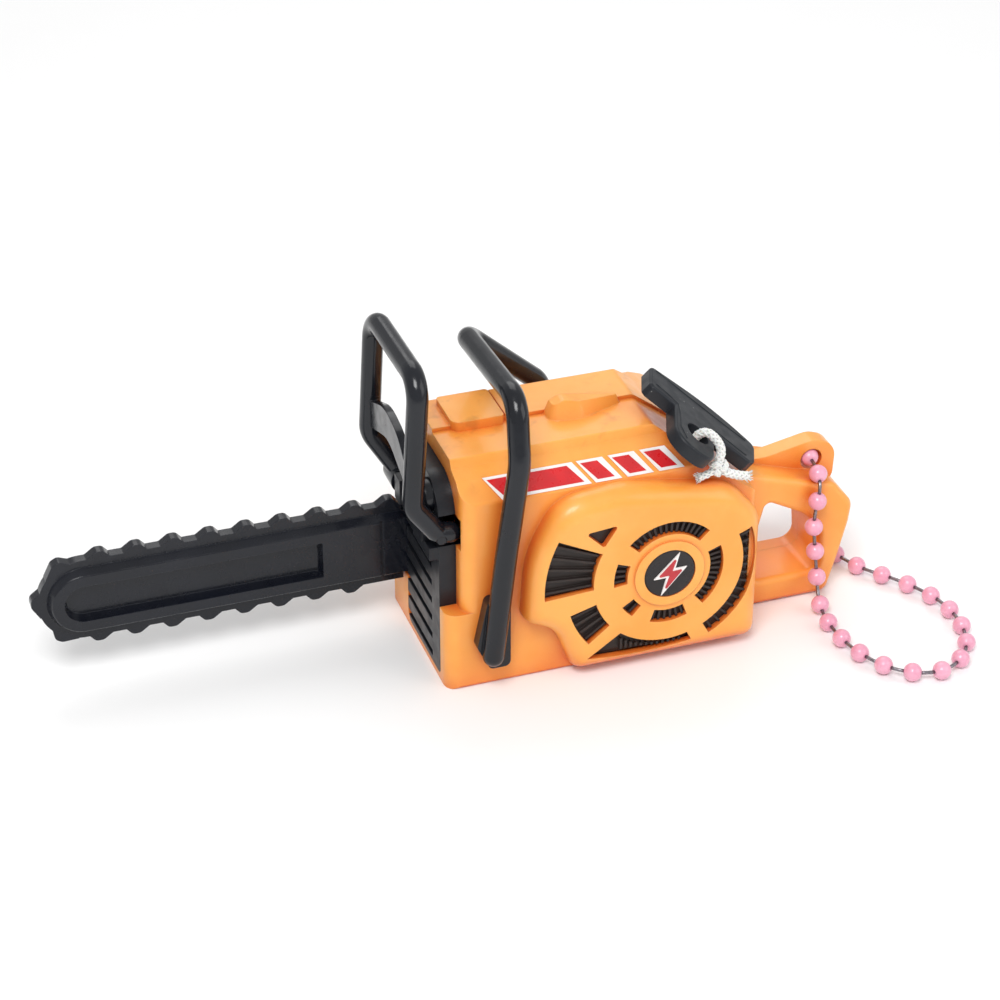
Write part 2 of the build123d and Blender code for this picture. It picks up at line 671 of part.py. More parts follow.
with BuildPart() as front_handle:
    add(bent_tube(FRONT_ROUTE, FRONT_BENDS, FRONT_TUBE))
    for end in (FRONT_ROUTE[0], FRONT_ROUTE[-1]):
        with Locations(end):
            Sphere(FRONT_TUBE / 2)
    with BuildSketch(Plane.XZ.offset(HALF_WIDTH)):
        outline(FOOT_PAD, [0.8, 0.8, 0.8, 0.8, 0.8])
    extrude(amount=1.6)
    cylinder_y(PEG_R, HANDLE_PEG, -HALF_WIDTH, -HALF_WIDTH + 1.8)
    with BuildSketch(Plane.XZ.offset(-HALF_WIDTH)):
        with Locations(FAR_PEG):
            RectangleRounded(4.4, 6.0, 1.5)
    extrude(amount=-1.6)
    cylinder_y(PEG_R, FAR_PEG, HALF_WIDTH - 1.8, HALF_WIDTH)
save(front_handle, "front_handle")

GUARD_ROUTE = [
    (-26.9, -GUARD_Y, 21.9),
    (-28.4, -GUARD_Y, 22.1),
    (-31.6, -GUARD_Y, 26.4),
    (-30.6, -GUARD_Y, 43.8),
    (-30.7, GUARD_Y + 0.1, 43.6),
    (-31.7, GUARD_Y, 27.2),
    (-28.6, 6.6, 22.4),
]
GUARD_BENDS = [1.2, 3.0, 3.0, 3.0, 3.0]
WEB_POINTS = [
    (GUARD_Y, 28.2),
    (GUARD_Y, 31.8),
    (1.5, 34.9),
    (-4.0, 34.0),
    (-GUARD_Y, 29.6),
    (-6.0, 28.8),
    (0, 31.2),
]
WEB_RADII = [0, 0, 8.0, 6.0, 0, 0, 6.0]

with BuildPart() as hand_guard:
    add(bent_tube(GUARD_ROUTE, GUARD_BENDS, GUARD_TUBE))
    with Locations(GUARD_ROUTE[0]):
        Sphere(GUARD_TUBE / 2)
    with BuildSketch(Plane.YZ.offset(-31.9)):
        outline(WEB_POINTS, WEB_RADII)
    extrude(amount=1.0)
    cylinder_y(1.9, GUARD_PIVOT, 4.9, 8.4)
    cylinder_y(0.66, GUARD_PIVOT, -11, -7, Mode.SUBTRACT)
    cylinder_y(0.75, GUARD_PIVOT, 4, 9, Mode.SUBTRACT)
save(hand_guard, "hand_guard")

with BuildPart() as guard_pivot_pins:
    cylinder_y(0.6, GUARD_PIVOT, -10.2, -4.6)
    cylinder_y(0.7, GUARD_PIVOT, 2.4, 8.2)
save(guard_pivot_pins, "guard_pivot_pins")

# ---------------------------------------------------------------- decals on the near shoulder
SHOULDER = Plane(origin=(0, -9.4, 29.2), x_dir=(1, 0, 0), z_dir=(0, -2.2, 2.6))
STRIPES = [(-22.4, -12.0), (-10.2, -8.0), (-6.0, -3.8), (-1.8, 0.3)]
STRIPE_HIGH = -0.5
STRIPE_LOW = -2.9
STRIPE_SHEAR = 1.7
DECAL_RIM = 0.38
DECAL_THICK = 0.1


def stripe(start, end, rim):
    """Slanted red stripe, or its white backing when a rim is given."""
    outline(
        [
            (start - rim * 1.25, STRIPE_HIGH + rim),
            (end + rim * 2.0, STRIPE_HIGH + rim),
            (end + STRIPE_SHEAR + rim * 2.4, STRIPE_LOW - rim),
            (start + STRIPE_SHEAR - rim * 0.9, STRIPE_LOW - rim),
        ],
        [0, 0, 0, 0],
    )


with BuildPart() as decal_backing:
    with BuildSketch(SHOULDER.offset(0.02)):
        for start, end in STRIPES:
            stripe(start, end, DECAL_RIM)
    extrude(amount=DECAL_THICK)
save(decal_backing, "decal_backing")

with BuildPart() as decal_stripes:
    with BuildSketch(SHOULDER.offset(0.02 + DECAL_THICK)):
        for start, end in STRIPES:
            stripe(start, end, 0)
    extrude(amount=0.06)
save(decal_stripes, "decal_stripes")

# ---------------------------------------------------------------- starter grip
GRIP = Plane(origin=(8.679, -2.968, 30.333), x_dir=(0.7054, -0.2947, -0.6445), z_dir=(0.608, -0.2156, 0.7643))
GRIP_THICK = 1.8
GRIP_HOLE = (-0.7, -9.0)
GRIP_HOLE_R = 1.75
GRIP_BAR = [(-8.5, -0.5), (2.0, 1.2), (9.4, -0.2), (9.2, -4.6), (8.2, -5.7), (-8.0, -5.7), (-8.5, -5.2)]
GRIP_BAR_RADII = [0.9, 30.0, 1.2, 1.0, 0.5, 0.3, 0.3]

with BuildPart() as starter_grip:
    with BuildSketch(GRIP):
        outline(GRIP_BAR, GRIP_BAR_RADII)
        outline([(-4.4, -4.0), (2.1, -4.0), (2.1, -13.7), (-4.4, -13.7)], [0, 0, 2.6, 3.0])
        with Locations(GRIP_HOLE):
            Circle(GRIP_HOLE_R, mode=Mode.SUBTRACT)
    extrude(amount=-GRIP_THICK)
    grip_axis = Axis(GRIP.origin, GRIP.z_dir)
    top_face = starter_grip.faces().filter_by(grip_axis).sort_by(grip_axis)[-1]
    fillet(top_face.outer_wire().edges(), radius=0.35)
save(starter_grip, "starter_grip")

# ---------------------------------------------------------------- starter rope and its eyelet
ROPE_ROUTE = [
    (4.2, -10.0, 5.0),
    (4.26, -9.92, 10.5),
    (4.18, -10.06, 16.0),
    (4.23, -9.96, 21.0),
    (4.2, -10.0, 25.2),
    (4.2, -10.02, 29.1),
    (5.7, -11.53, 31.92),
    (7.65, -12.95, 29.55),
    (6.7, -13.2, 27.0),
    (8.6, -13.7, 25.8),
    (10.9, -13.4, 25.0),
]
ROPE_EXIT_BEND = 3.5
ROPE_EXIT_CORNER = 4
ROPE_BENDS = bend_radii(ROPE_ROUTE)
ROPE_BENDS[ROPE_EXIT_CORNER] = min(ROPE_BENDS[ROPE_EXIT_CORNER], ROPE_EXIT_BEND)
print("rope radii", [round(r, 1) for r in ROPE_BENDS])
with BuildPart() as starter_rope:
    add(bent_tube(ROPE_ROUTE, ROPE_BENDS, ROPE_DIA))
save(starter_rope, "starter_rope")
print("rope", starter_rope.part.is_valid, starter_rope.part.volume / (pi * ROPE_DIA**2 / 4), "mm long")

EYELET_LOW = 26.4
EYELET_HIGH = 28.4

with BuildPart() as rope_eyelet:
    with BuildSketch(Plane.XY.offset(EYELET_LOW)):
        with Locations((ROPE_X, ROPE_Y)):
            Circle(EYELET_R)
            Circle(EYELET_BORE_R, mode=Mode.SUBTRACT)
    extrude(amount=EYELET_HIGH - EYELET_LOW)
save(rope_eyelet, "rope_eyelet")

# ---------------------------------------------------------------- starter mechanism
IDLER_X = -GEAR_MODULE * (DRUM_TEETH + IDLER_PINION_TEETH) / 2
BUZZER_X = IDLER_X - GEAR_MODULE * (IDLER_TEETH + BUZZER_TEETH) / 2
DRUM_FLANGE_R = 5.6
DRUM_CORE_R = 2.2
AXLE_R = 1.0
SMALL_AXLE_R = 0.7
RUNNING_GAP = 0.05


def gear(teeth, center_x, y_from, y_to, turn):
    """Spur gear with straight-sided teeth and wide backlash; turn is the angle of its first tooth."""
    pitch_r = GEAR_MODULE * teeth / 2
    flank = [(pitch_r - 1.1 * GEAR_MODULE, -0.34), (pitch_r, -0.24), (pitch_r + 0.75 * GEAR_MODULE, -0.1)]
    flank += [(radius, -across) for radius, across in reversed(flank)]
    points = []
    for k in range(teeth):
        for radius, across in flank:
            angle = radians(turn + 360 * k / teeth) + across / radius
            points.append((center_x + radius * cos(angle), DRUM_Z + radius * sin(angle)))
    with BuildPart() as wheel:
        with BuildSketch(Plane.XZ.offset(-y_from)):
            with BuildLine() as edge:
                Polyline(*points, close=True)
            make_face(edge.edges())
        extrude(amount=y_from - y_to)
    return wheel.part


with BuildPart() as starter_drum:
    at = (0, DRUM_Z)
    cylinder_y(1.8, at, -12.1, -11.2)
    cylinder_y(DRUM_FLANGE_R, at, -11.2, -10.75)
    cylinder_y(DRUM_CORE_R, at, -10.75, -9.25)
    cylinder_y(DRUM_FLANGE_R, at, -9.25, -8.8)
    add(gear(DRUM_TEETH, 0, -8.8, -7.9, 0))
    cylinder_y(1.6, at, -7.9, -3.0)
    for angle in range(0, 360, 60):
        cylinder_y(0.9, polar(3.9, angle), -12, -10.75, Mode.SUBTRACT)
    cylinder_y(AXLE_R + RUNNING_GAP, at, -13, -2, Mode.SUBTRACT)
save(starter_drum, "starter_drum")

with BuildPart() as rope_coil:
    cylinder_y(3.45, (0, DRUM_Z), -10.7, -9.3)
    cylinder_y(DRUM_CORE_R + 0.02, (0, DRUM_Z), -11, -9, Mode.SUBTRACT)
    fillet(rope_coil.edges().filter_by(GeomType.CIRCLE).sort_by(SortBy.LENGTH)[-2:], radius=0.5)
save(rope_coil, "rope_coil")

with BuildPart() as drum_axle:
    cylinder_y(AXLE_R, (0, DRUM_Z), -14.0, -2.0)
save(drum_axle, "drum_axle")

with BuildPart() as gearbox_plate:
    with BuildSketch(Plane.XZ.offset(-PLATE_BACK)):
        outline(
            [(11.4, 1.8), (11.4, 19.6), (8.6, 22.9), (-15.2, 24.6), (-18.3, 16.0), (-18.3, 3.2), (-8.0, 3.2)],
            [1.6, 1.0, 1.0, 1.8, 4.0, 1.8, 4.0],
        )
        with Locations((0, DRUM_Z)):
            Circle(1.75, mode=Mode.SUBTRACT)
        with Locations(*PILLARS):
            Circle(0.62, mode=Mode.SUBTRACT)
        with Locations((IDLER_X, DRUM_Z), (BUZZER_X, DRUM_Z)):
            Circle(SMALL_AXLE_R, mode=Mode.SUBTRACT)
        with Locations((4.4, 21.2), (-6.0, 5.6)):
            Circle(1.6, mode=Mode.SUBTRACT)
    extrude(amount=PLATE_BACK - PLATE_FRONT)
save(gearbox_plate, "gearbox_plate")

CUP_R = 6.6
with BuildPart() as spring_cup:
    cylinder_y(CUP_R, (0, DRUM_Z), PLATE_BACK, -1.9)
    cylinder_y(CUP_R - 0.6, (0, DRUM_Z), PLATE_BACK - 1, -2.5, Mode.SUBTRACT)
    cylinder_y(AXLE_R, (0, DRUM_Z), -3, -1, Mode.SUBTRACT)
save(spring_cup, "spring_cup")

SPRING_TURNS = 5
SPRING_INNER_R = 1.95
SPRING_PITCH = 0.72
with BuildPart() as recoil_spring:
    with BuildSketch(Plane.XZ.offset(4.4)):
        with BuildLine() as coil:
            for half in range(2 * SPRING_TURNS):
                start_r = SPRING_INNER_R + SPRING_PITCH * half / 2
                end_r = start_r + SPRING_PITCH / 2
                way = 1 if half % 2 == 0 else -1
                middle_r = (start_r + end_r) / 2
                shift = way * (start_r - middle_r)
                ThreePointArc(
                    (way * start_r, DRUM_Z), (shift, DRUM_Z + way * middle_r), (-way * end_r, DRUM_Z)
                )
        trace(coil.edges(), line_width=0.22)
    extrude(amount=-1.5)
save(recoil_spring, "recoil_spring")

with BuildPart() as idler_gear:
    at = (IDLER_X, DRUM_Z)
    add(gear(IDLER_PINION_TEETH, IDLER_X, -8.75, -7.9, 180 / IDLER_PINION_TEETH))
    add(gear(IDLER_TEETH, IDLER_X, -7.9, -7.1, 0))
    cylinder_y(1.3, at, -7.1, -5.9)
    cylinder_y(SMALL_AXLE_R + RUNNING_GAP, at, -9, -5, Mode.SUBTRACT)
save(idler_gear, "idler_gear")

with BuildPart() as buzzer_weight:
    at = (BUZZER_X, DRUM_Z)
    add(gear(BUZZER_TEETH, BUZZER_X, -7.9, -7.1, 180 / BUZZER_TEETH))
    cylinder_y(1.3, at, -7.1, -5.9)
    cylinder_y(1.4, at, -9.5, -7.9)
    with BuildSketch(Plane.XZ.offset(8.0)):
        with BuildLine() as edge:
            ThreePointArc((BUZZER_X - 3.4, DRUM_Z), (BUZZER_X, DRUM_Z - 3.4), (BUZZER_X + 3.4, DRUM_Z))
            Line((BUZZER_X + 3.4, DRUM_Z), (BUZZER_X - 3.4, DRUM_Z))
        make_face(edge.edges())
    extrude(amount=1.5)
    cylinder_y(SMALL_AXLE_R + RUNNING_GAP, at, -10, -5, Mode.SUBTRACT)
save(buzzer_weight, "buzzer_weight")


def headed_axle(x, front):
    """Small fixed axle in the gearbox plate with a retaining head at its front end."""
    with BuildPart() as pin:
        cylinder_y(SMALL_AXLE_R, (x, DRUM_Z), front, PLATE_BACK)
        cylinder_y(1.1, (x, DRUM_Z), front - 0.5, front)
    return pin.part


with BuildPart() as idler_axle:
    add(headed_axle(IDLER_X, -8.85))
save(idler_axle, "idler_axle")

with BuildPart() as buzzer_axle:
    add(headed_axle(BUZZER_X, -9.6))
save(buzzer_axle, "buzzer_axle")

# ---------------------------------------------------------------- ball chain and its connector
FLOOR_Z = CHAIN_DIA / 2 + 0.02
LINK_TOP = (27.0, 4.9, 11.5)
LINK_LOW = (28.2, 5.2, 7.06)
CHAIN_ROUTE = [
    LINK_LOW,
    (29.0, 5.4, 4.07),
    (29.6, 3.6, FLOOR_Z),
    (30.6, -0.6, FLOOR_Z),
    (32.4, -5.0, FLOOR_Z),
    (36.2, -9.4, FLOOR_Z),
    (39.2, -15.4, FLOOR_Z),
    (39.2, -22.0, FLOOR_Z),
    (36.6, -27.6, FLOOR_Z),
    (31.6, -30.3, FLOOR_Z),
    (26.4, -28.0, FLOOR_Z),
    (23.3, -22.4, FLOOR_Z),
    (22.6, -15.8, FLOOR_Z),
    (23.5, -10.6, FLOOR_Z),
    (23.9, -8.6, 4.6),
    (23.4, -8.5, 9.0),
    (22.9, -8.5, 13.2),
    (24.1, -8.3, 19.5),
    (25.0, 2.9, 18.7),
    (26.27, 4.72, 14.2),
    LINK_TOP,
]
CHAIN_BENDS = bend_radii(CHAIN_ROUTE)
print("chain radii", [round(r, 1) for r in CHAIN_BENDS])

with BuildPart() as ball_chain:
    add(bent_tube(CHAIN_ROUTE, CHAIN_BENDS, CHAIN_DIA))
save(ball_chain, "ball_chain")
print("chain", ball_chain.part.is_valid, ball_chain.part.volume / (pi * CHAIN_DIA**2 / 4), "mm long")

with BuildPart() as chain_connector:
    link_way = Vector(*LINK_TOP) - Vector(*LINK_LOW)
    with BuildSketch(Plane(origin=LINK_LOW, z_dir=link_way)):
        Circle(1.6)
    extrude(amount=link_way.length)
    fillet(chain_connector.edges().filter_by(GeomType.CIRCLE), radius=0.35)
save(chain_connector, "chain_connector")
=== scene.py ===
"""Looks for the miniature toy chainsaw: camera, rope and ball chain, printed and moulded detail,
materials and light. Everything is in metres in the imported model's frame."""

import math
import random

import bmesh
import bpy
from mathutils import Matrix, Vector


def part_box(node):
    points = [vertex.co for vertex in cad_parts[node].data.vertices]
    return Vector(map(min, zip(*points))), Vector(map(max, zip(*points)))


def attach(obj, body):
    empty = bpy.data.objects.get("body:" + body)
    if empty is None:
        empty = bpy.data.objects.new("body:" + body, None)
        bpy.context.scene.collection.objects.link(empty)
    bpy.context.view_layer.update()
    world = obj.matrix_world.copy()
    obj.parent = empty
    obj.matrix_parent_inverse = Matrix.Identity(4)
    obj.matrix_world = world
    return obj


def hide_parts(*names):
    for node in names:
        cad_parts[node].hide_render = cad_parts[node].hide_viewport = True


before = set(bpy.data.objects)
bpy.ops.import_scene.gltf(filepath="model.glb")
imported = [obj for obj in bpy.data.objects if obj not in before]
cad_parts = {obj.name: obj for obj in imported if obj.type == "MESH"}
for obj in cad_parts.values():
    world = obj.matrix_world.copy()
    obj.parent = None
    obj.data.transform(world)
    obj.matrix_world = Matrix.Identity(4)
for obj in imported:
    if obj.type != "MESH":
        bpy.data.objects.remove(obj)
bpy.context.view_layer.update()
MM = 0.001
SAW = "saw"
GRIP_BODY = "grip"
dice = random.Random(7)


def metres(points):
    """Points given in millimetres, as vectors in metres."""
    return [Vector(point) * MM for point in points]


# ---------------------------------------------------------------- camera
CAMERA_AZIMUTH = -19.0
CAMERA_ELEVATION = 32.0
CAMERA_LENS = 99.0
CAMERA_PLACE = (-113.95, -280.83, 204.85)  # millimetres


def make_camera():
    """Long lens from the front left, at the photograph's angle."""
    data = bpy.data.cameras.new("camera")
    data.lens = CAMERA_LENS
    data.sensor_width = 36.0
    data.clip_start = 0.01
    data.clip_end = 10.0
    camera = bpy.data.objects.new("camera", data)
    bpy.context.scene.collection.objects.link(camera)
    turn = math.radians(CAMERA_AZIMUTH)
    rise = math.radians(CAMERA_ELEVATION)
    level = math.cos(rise)
    back = Vector((math.sin(turn) * level, -math.cos(turn) * level, math.sin(rise)))
    right = Vector((math.cos(turn), math.sin(turn), 0))
    up = back.cross(right)
    axes = Matrix((right, up, back)).transposed()
    camera.matrix_world = Matrix.Translation(Vector(CAMERA_PLACE) * MM) @ axes.to_4x4()
    bpy.context.scene.camera = camera


make_camera()


# ---------------------------------------------------------------- curve and mesh tools
def link(name, data):
    """Object of that data in the scene, at the origin."""
    piece = bpy.data.objects.new(name, data)
    bpy.context.scene.collection.objects.link(piece)
    return piece


def smooth_points(name, route):
    """Points along the smooth line that has the route's points as its control points."""
    data = bpy.data.curves.new(name, "CURVE")
    data.dimensions = "3D"
    data.resolution_u = 24
    spline = data.splines.new("NURBS")
    spline.points.add(len(route) - 1)
    for control, place in zip(spline.points, metres(route)):
        control.co = (*place, 1.0)
    spline.order_u = 3
    spline.use_endpoint_u = True
    curve = link(name, data)
    bpy.context.view_layer.update()
    seen = curve.evaluated_get(bpy.context.evaluated_depsgraph_get())
    mesh = bpy.data.meshes.new_from_object(seen)
    points = [vertex.co.copy() for vertex in mesh.vertices]
    bpy.data.meshes.remove(mesh)
    bpy.data.objects.remove(curve)
    return points


class Line:
    """A polyline that gives a point, and a frame carried along it without twist, at any length."""

    def __init__(self, points):
        self.points = points
        self.lengths = [0.0]
        for start, end in zip(points, points[1:]):
            self.lengths.append(self.lengths[-1] + (end - start).length)
        self.length = self.lengths[-1]
        self.sides = []
        way = (points[1] - points[0]).normalized()
        side = way.orthogonal().normalized()
        for start, end in zip(points, points[1:]):
            way = (end - start).normalized()
            side = (side - way * side.dot(way)).normalized()
            self.sides.append(side)

    def at(self, length):
        """(place, way, side, other side) at a length from the start."""
        length = min(max(length, 0.0), self.length * 0.999999)
        low, high = 0, len(self.lengths) - 1
        while high - low > 1:
            half = (low + high) // 2
            if self.lengths[half] <= length:
                low = half
            else:
                high = half
        start, end = self.points[low], self.points[low + 1]
        span = max(self.lengths[low + 1] - self.lengths[low], 1e-12)
        share = (length - self.lengths[low]) / span
        way = (end - start).normalized()
        side = self.sides[low]
        return start.lerp(end, share), way, side, way.cross(side)


def add_rings(mesh, rings, material=0):
    """Closed skin over rings of points, each ring with as many points as the last."""
    made = [[mesh.verts.new(place) for place in ring] for ring in rings]
    count = len(made[0])
    for low, high in zip(made, made[1:]):
        for k in range(count):
            after = (k + 1) % count
            face = mesh.faces.new((low[k], low[after], high[after], high[k]))
            face.material_index = material
            face.smooth = True
    for ring in (made[0][::-1], made[-1]):
        face = mesh.faces.new(ring)
        face.material_index = material
        face.smooth = True


def ring_about(place, side, other, radius, count):
    """Circle of points about a place."""
    turns = [2 * math.pi * k / count for k in range(count)]
    return [place + (side * math.cos(turn) + other * math.sin(turn)) * radius for turn in turns]


def add_tube(mesh, points, radii, count=8, material=0):
    """Round tube through the points, with a radius for each."""
    line = Line(points)
    rings = []
    for length, radius in zip(line.lengths, radii):
        place, _, side, other = line.at(length)
        rings.append(ring_about(place, side, other, radius, count))
    add_rings(mesh, rings, material)


def mesh_piece(name, mesh, body):
    """Object made from a bmesh, riding on a body."""
    bmesh.ops.recalc_face_normals(mesh, faces=mesh.faces)
    data = bpy.data.meshes.new(name)
    mesh.to_mesh(data)
    mesh.free()
    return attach(link(name, data), body)


# ---------------------------------------------------------------- ball chain
FLOOR_Z = 1.22  # millimetres, of the chain's line where it lies on the table
CHAIN_DIA = 2.4 * MM
BALL_PITCH = 3.85 * MM
LINK_RADIUS = 0.24 * MM
COLLAR_RADIUS = 0.42 * MM
BALL_STEPS = 14
FIRST_BALL = 0.68  # this and the next two are in pitches of the chain
LINK_HALF = 0.24
LINK_STEP = 0.12
LINK_SAMPLES = 5
LINK_LOW = (28.2, 5.2, 7.06)
LINK_TOP = (27.0, 4.9, 11.5)
CHAIN_ROUTE = [
    LINK_LOW,
    (29.0, 5.4, 4.07),
    (29.6, 3.6, FLOOR_Z),
    (30.6, -0.6, FLOOR_Z),
    (32.4, -5.0, FLOOR_Z),
    (36.2, -9.4, FLOOR_Z),
    (39.2, -15.4, FLOOR_Z),
    (39.2, -22.0, FLOOR_Z),
    (36.6, -27.6, FLOOR_Z),
    (31.6, -30.3, FLOOR_Z),
    (26.4, -28.0, FLOOR_Z),
    (23.3, -22.4, FLOOR_Z),
    (22.6, -15.8, FLOOR_Z),
    (23.5, -10.6, FLOOR_Z),
    (23.9, -8.6, 4.6),
    (23.4, -8.5, 9.0),
    (22.9, -8.5, 13.2),
    (24.1, -8.3, 19.5),
    (25.0, 2.9, 18.7),
    (26.27, 4.72, 14.2),
    LINK_TOP,
]


def ball_profile(radius):
    """(distance from the chain's line, place along it) from one hole of a ball to the other."""
    start = math.asin(COLLAR_RADIUS / radius)
    angles = [start + (math.pi - 2 * start) * k / BALL_STEPS for k in range(BALL_STEPS + 1)]
    round_part = [(radius * math.sin(angle), -radius * math.cos(angle)) for angle in angles]
    reach = round_part[-1][1]
    return [(LINK_RADIUS * 0.9, -reach * 0.93), *round_part, (LINK_RADIUS * 0.9, reach * 0.93)]


def make_ball_chain():
    """Lacquered balls on short wire links, along the chain's line."""
    points = smooth_points("chain_line", CHAIN_ROUTE)
    line = Line(points)
    balls = round(line.length / BALL_PITCH)
    pitch = line.length / balls
    mesh = bmesh.new()
    for number in range(balls):
        place, way, side, other = line.at((number + FIRST_BALL) * pitch)
        rings = [ring_about(place + way * along, side, other, out, 24)
                 for out, along in ball_profile(CHAIN_DIA / 2)]
        add_rings(mesh, rings, material=0)
    for number in range(balls + 1):
        middle = number + FIRST_BALL - 0.5
        lengths = [(middle - LINK_HALF + LINK_STEP * k) * pitch for k in range(LINK_SAMPLES)]
        lengths = [length for length in lengths if 0 <= length <= line.length]
        if len(lengths) > 1:
            wire = [line.at(length)[0] for length in lengths]
            add_tube(mesh, wire, [LINK_RADIUS] * len(wire), count=8, material=1)
    chain = mesh_piece("chain_balls", mesh, SAW)
    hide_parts("ball_chain")
    return chain


# ---------------------------------------------------------------- starter rope
CORE_RADIUS = 0.42 * MM
STRAND_RADIUS = 0.19 * MM
STRAND_ORBIT = 0.4 * MM
STRAND_WEAVE = 0.06 * MM
STRAND_PITCH = 2.8 * MM
STRANDS_EACH_WAY = 4
SAMPLES_PER_PITCH = 14
KNOT_STEPS = 60
KNOT_SIZE = 0.8 * MM
FRAY_FIBRES = 46
FRAY_REACH = 1.1 * MM
ROPE_ROUTE = [
    (4.2, -10.0, 5.0),
    (4.26, -9.92, 10.5),
    (4.18, -10.06, 16.0),
    (4.23, -9.96, 21.0),
    (4.2, -10.0, 25.2),
    (4.2, -10.02, 29.1),
    (5.7, -11.53, 31.92),
    (7.65, -12.95, 29.55),
    (6.7, -13.2, 27.0),
    (8.6, -13.7, 25.8),
    (10.9, -13.4, 25.0),
]
KNOT_POINT = (6.95, -13.25, 27.0)
SHORT_END = [(6.6, -13.3, 26.9), (5.6, -13.45, 26.3), (4.3, -13.3, 26.05)]


def add_braid(mesh, line, start, end, scale=1.0):
    """Strands wound both ways round the line, passing over and under each other."""
    samples = max(8, int((end - start) / STRAND_PITCH * SAMPLES_PER_PITCH))
    for way_round in (1, -1):
        for strand in range(STRANDS_EACH_WAY):
            first = 2 * math.pi * strand / STRANDS_EACH_WAY
            places = []
            for step in range(samples + 1):
                length = start + (end - start) * step / samples
                place, _, side, other = line.at(length)
                turn = 2 * math.pi * (length - start) / STRAND_PITCH
                weave = math.cos(STRANDS_EACH_WAY * turn + (0 if way_round > 0 else math.pi))
                angle = first + way_round * turn
                orbit = (STRAND_ORBIT + STRAND_WEAVE * weave) * scale
                places.append(place + (side * math.cos(angle) + other * math.sin(angle)) * orbit)
            add_tube(mesh, places, [STRAND_RADIUS * scale] * len(places), count=6)


def add_fray(mesh, place, way, fibres, reach):
    """Loose fibres that fan out of a cut rope end."""
    side = way.orthogonal().normalized()
    other = way.cross(side)
    for _ in range(fibres):
        turn = dice.uniform(0, 2 * math.pi)
        out = side * math.cos(turn) + other * math.sin(turn)
        start = place - way * 0.5 * MM + out * dice.uniform(0.05, 0.4) * MM
        spread = dice.uniform(0.05, 0.5) * reach
        length = dice.uniform(0.5, 1.0) * reach
        middle = start + way * length * 0.55 + out * spread * 0.3
        end = start + way * length + out * spread
        add_tube(mesh, [start, middle, end], [0.07 * MM, 0.06 * MM, 0.03 * MM], count=5)


def knot_points(centre, size):
    """Closed over-and-under loop of a pulled-tight overhand knot."""
    places = []
    for step in range(KNOT_STEPS + 1):
        turn = 2 * math.pi * step / KNOT_STEPS
        x = (math.sin(turn) + 2 * math.sin(2 * turn)) / 3
        y = (math.cos(turn) - 2 * math.cos(2 * turn)) / 3
        z = -math.sin(3 * turn) / 2.2
        places.append(centre + Vector((x, z, y)) * size)
    return places


def make_rope():
    """Braided cord from inside the housing through the grip's hole, its knot and two ends."""
    points = smooth_points("rope_line", ROPE_ROUTE)
    line = Line(points)
    mesh = bmesh.new()
    add_tube(mesh, points, [CORE_RADIUS] * len(points), count=10)
    add_braid(mesh, line, 0, line.length)
    rope = mesh_piece("rope_braid", mesh, GRIP_BODY)
    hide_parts("starter_rope")
    mesh = bmesh.new()
    knot_line = Line(knot_points(Vector(KNOT_POINT) * MM, KNOT_SIZE))
    add_tube(mesh, knot_line.points, [CORE_RADIUS * 0.9] * len(knot_line.points), count=10)
    add_braid(mesh, knot_line, 0, knot_line.length, 0.9)
    knot = mesh_piece("rope_knot", mesh, GRIP_BODY)
    mesh = bmesh.new()
    short_line = Line(smooth_points("short_line", SHORT_END))
    add_tube(mesh, short_line.points, [CORE_RADIUS * 0.8] * len(short_line.points), count=10)
    add_braid(mesh, short_line, 0, short_line.length, 0.85)
    for end_line in (short_line, line):
        place, way, _, _ = end_line.at(end_line.length)
        add_fray(mesh, place, way, FRAY_FIBRES, FRAY_REACH)
    ends = mesh_piece("rope_ends", mesh, GRIP_BODY)
    return [rope, knot, ends]


chain_piece = make_ball_chain()
rope_pieces = make_rope()


# ---------------------------------------------------------------- badge emblem's outline
BOLT_SHAPE = [(0.9, 2.5), (-1.7, -0.2), (-0.1, -0.1), (-0.9, -2.5), (1.7, 0.5), (0.2, 0.4)]
RIM_WIDTH = 0.3  # millimetres, as the shape is
RIM_DEPTH = 0.08 * MM
LEAST_TURN = 0.3
LONGEST_CORNER = 1.9


def grown(points, distance):
    """Polygon with every edge moved out by a distance, its sharp corners cut short."""
    count = len(points)
    area = sum(points[k - 1][0] * points[k][1] - points[k][0] * points[k - 1][1]
               for k in range(count))
    way = 1 if area > 0 else -1
    result = []
    for k in range(count):
        before, here, after = (Vector(points[(k + step) % count]) for step in (-1, 0, 1))
        edge_in = (here - before).normalized()
        edge_out = (after - here).normalized()
        normal_in = Vector((edge_in.y, -edge_in.x)) * way
        normal_out = Vector((edge_out.y, -edge_out.x)) * way
        middle = (normal_in + normal_out).normalized()
        reach = min(distance / max(middle.dot(normal_in), LEAST_TURN), LONGEST_CORNER * distance)
        result.append(here + middle * reach)
    return result


def make_bolt_outline():
    """White rim round the red bolt on the badge."""
    low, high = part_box("badge_bolt")
    badge_low, badge_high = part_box("starter_badge")
    middle_z = (badge_low[2] + badge_high[2]) / 2
    front = low[1] + RIM_DEPTH
    back = high[1]
    outline = [(x * MM, z * MM + middle_z) for x, z in grown(BOLT_SHAPE, RIM_WIDTH)]
    mesh = bmesh.new()
    rings = [[Vector((x, y, z)) for x, z in outline] for y in (back, front)]
    add_rings(mesh, rings)
    for face in mesh.faces:
        face.smooth = False
    outline_piece = mesh_piece("bolt_outline", mesh, SAW)
    return outline_piece


bolt_outline = make_bolt_outline()


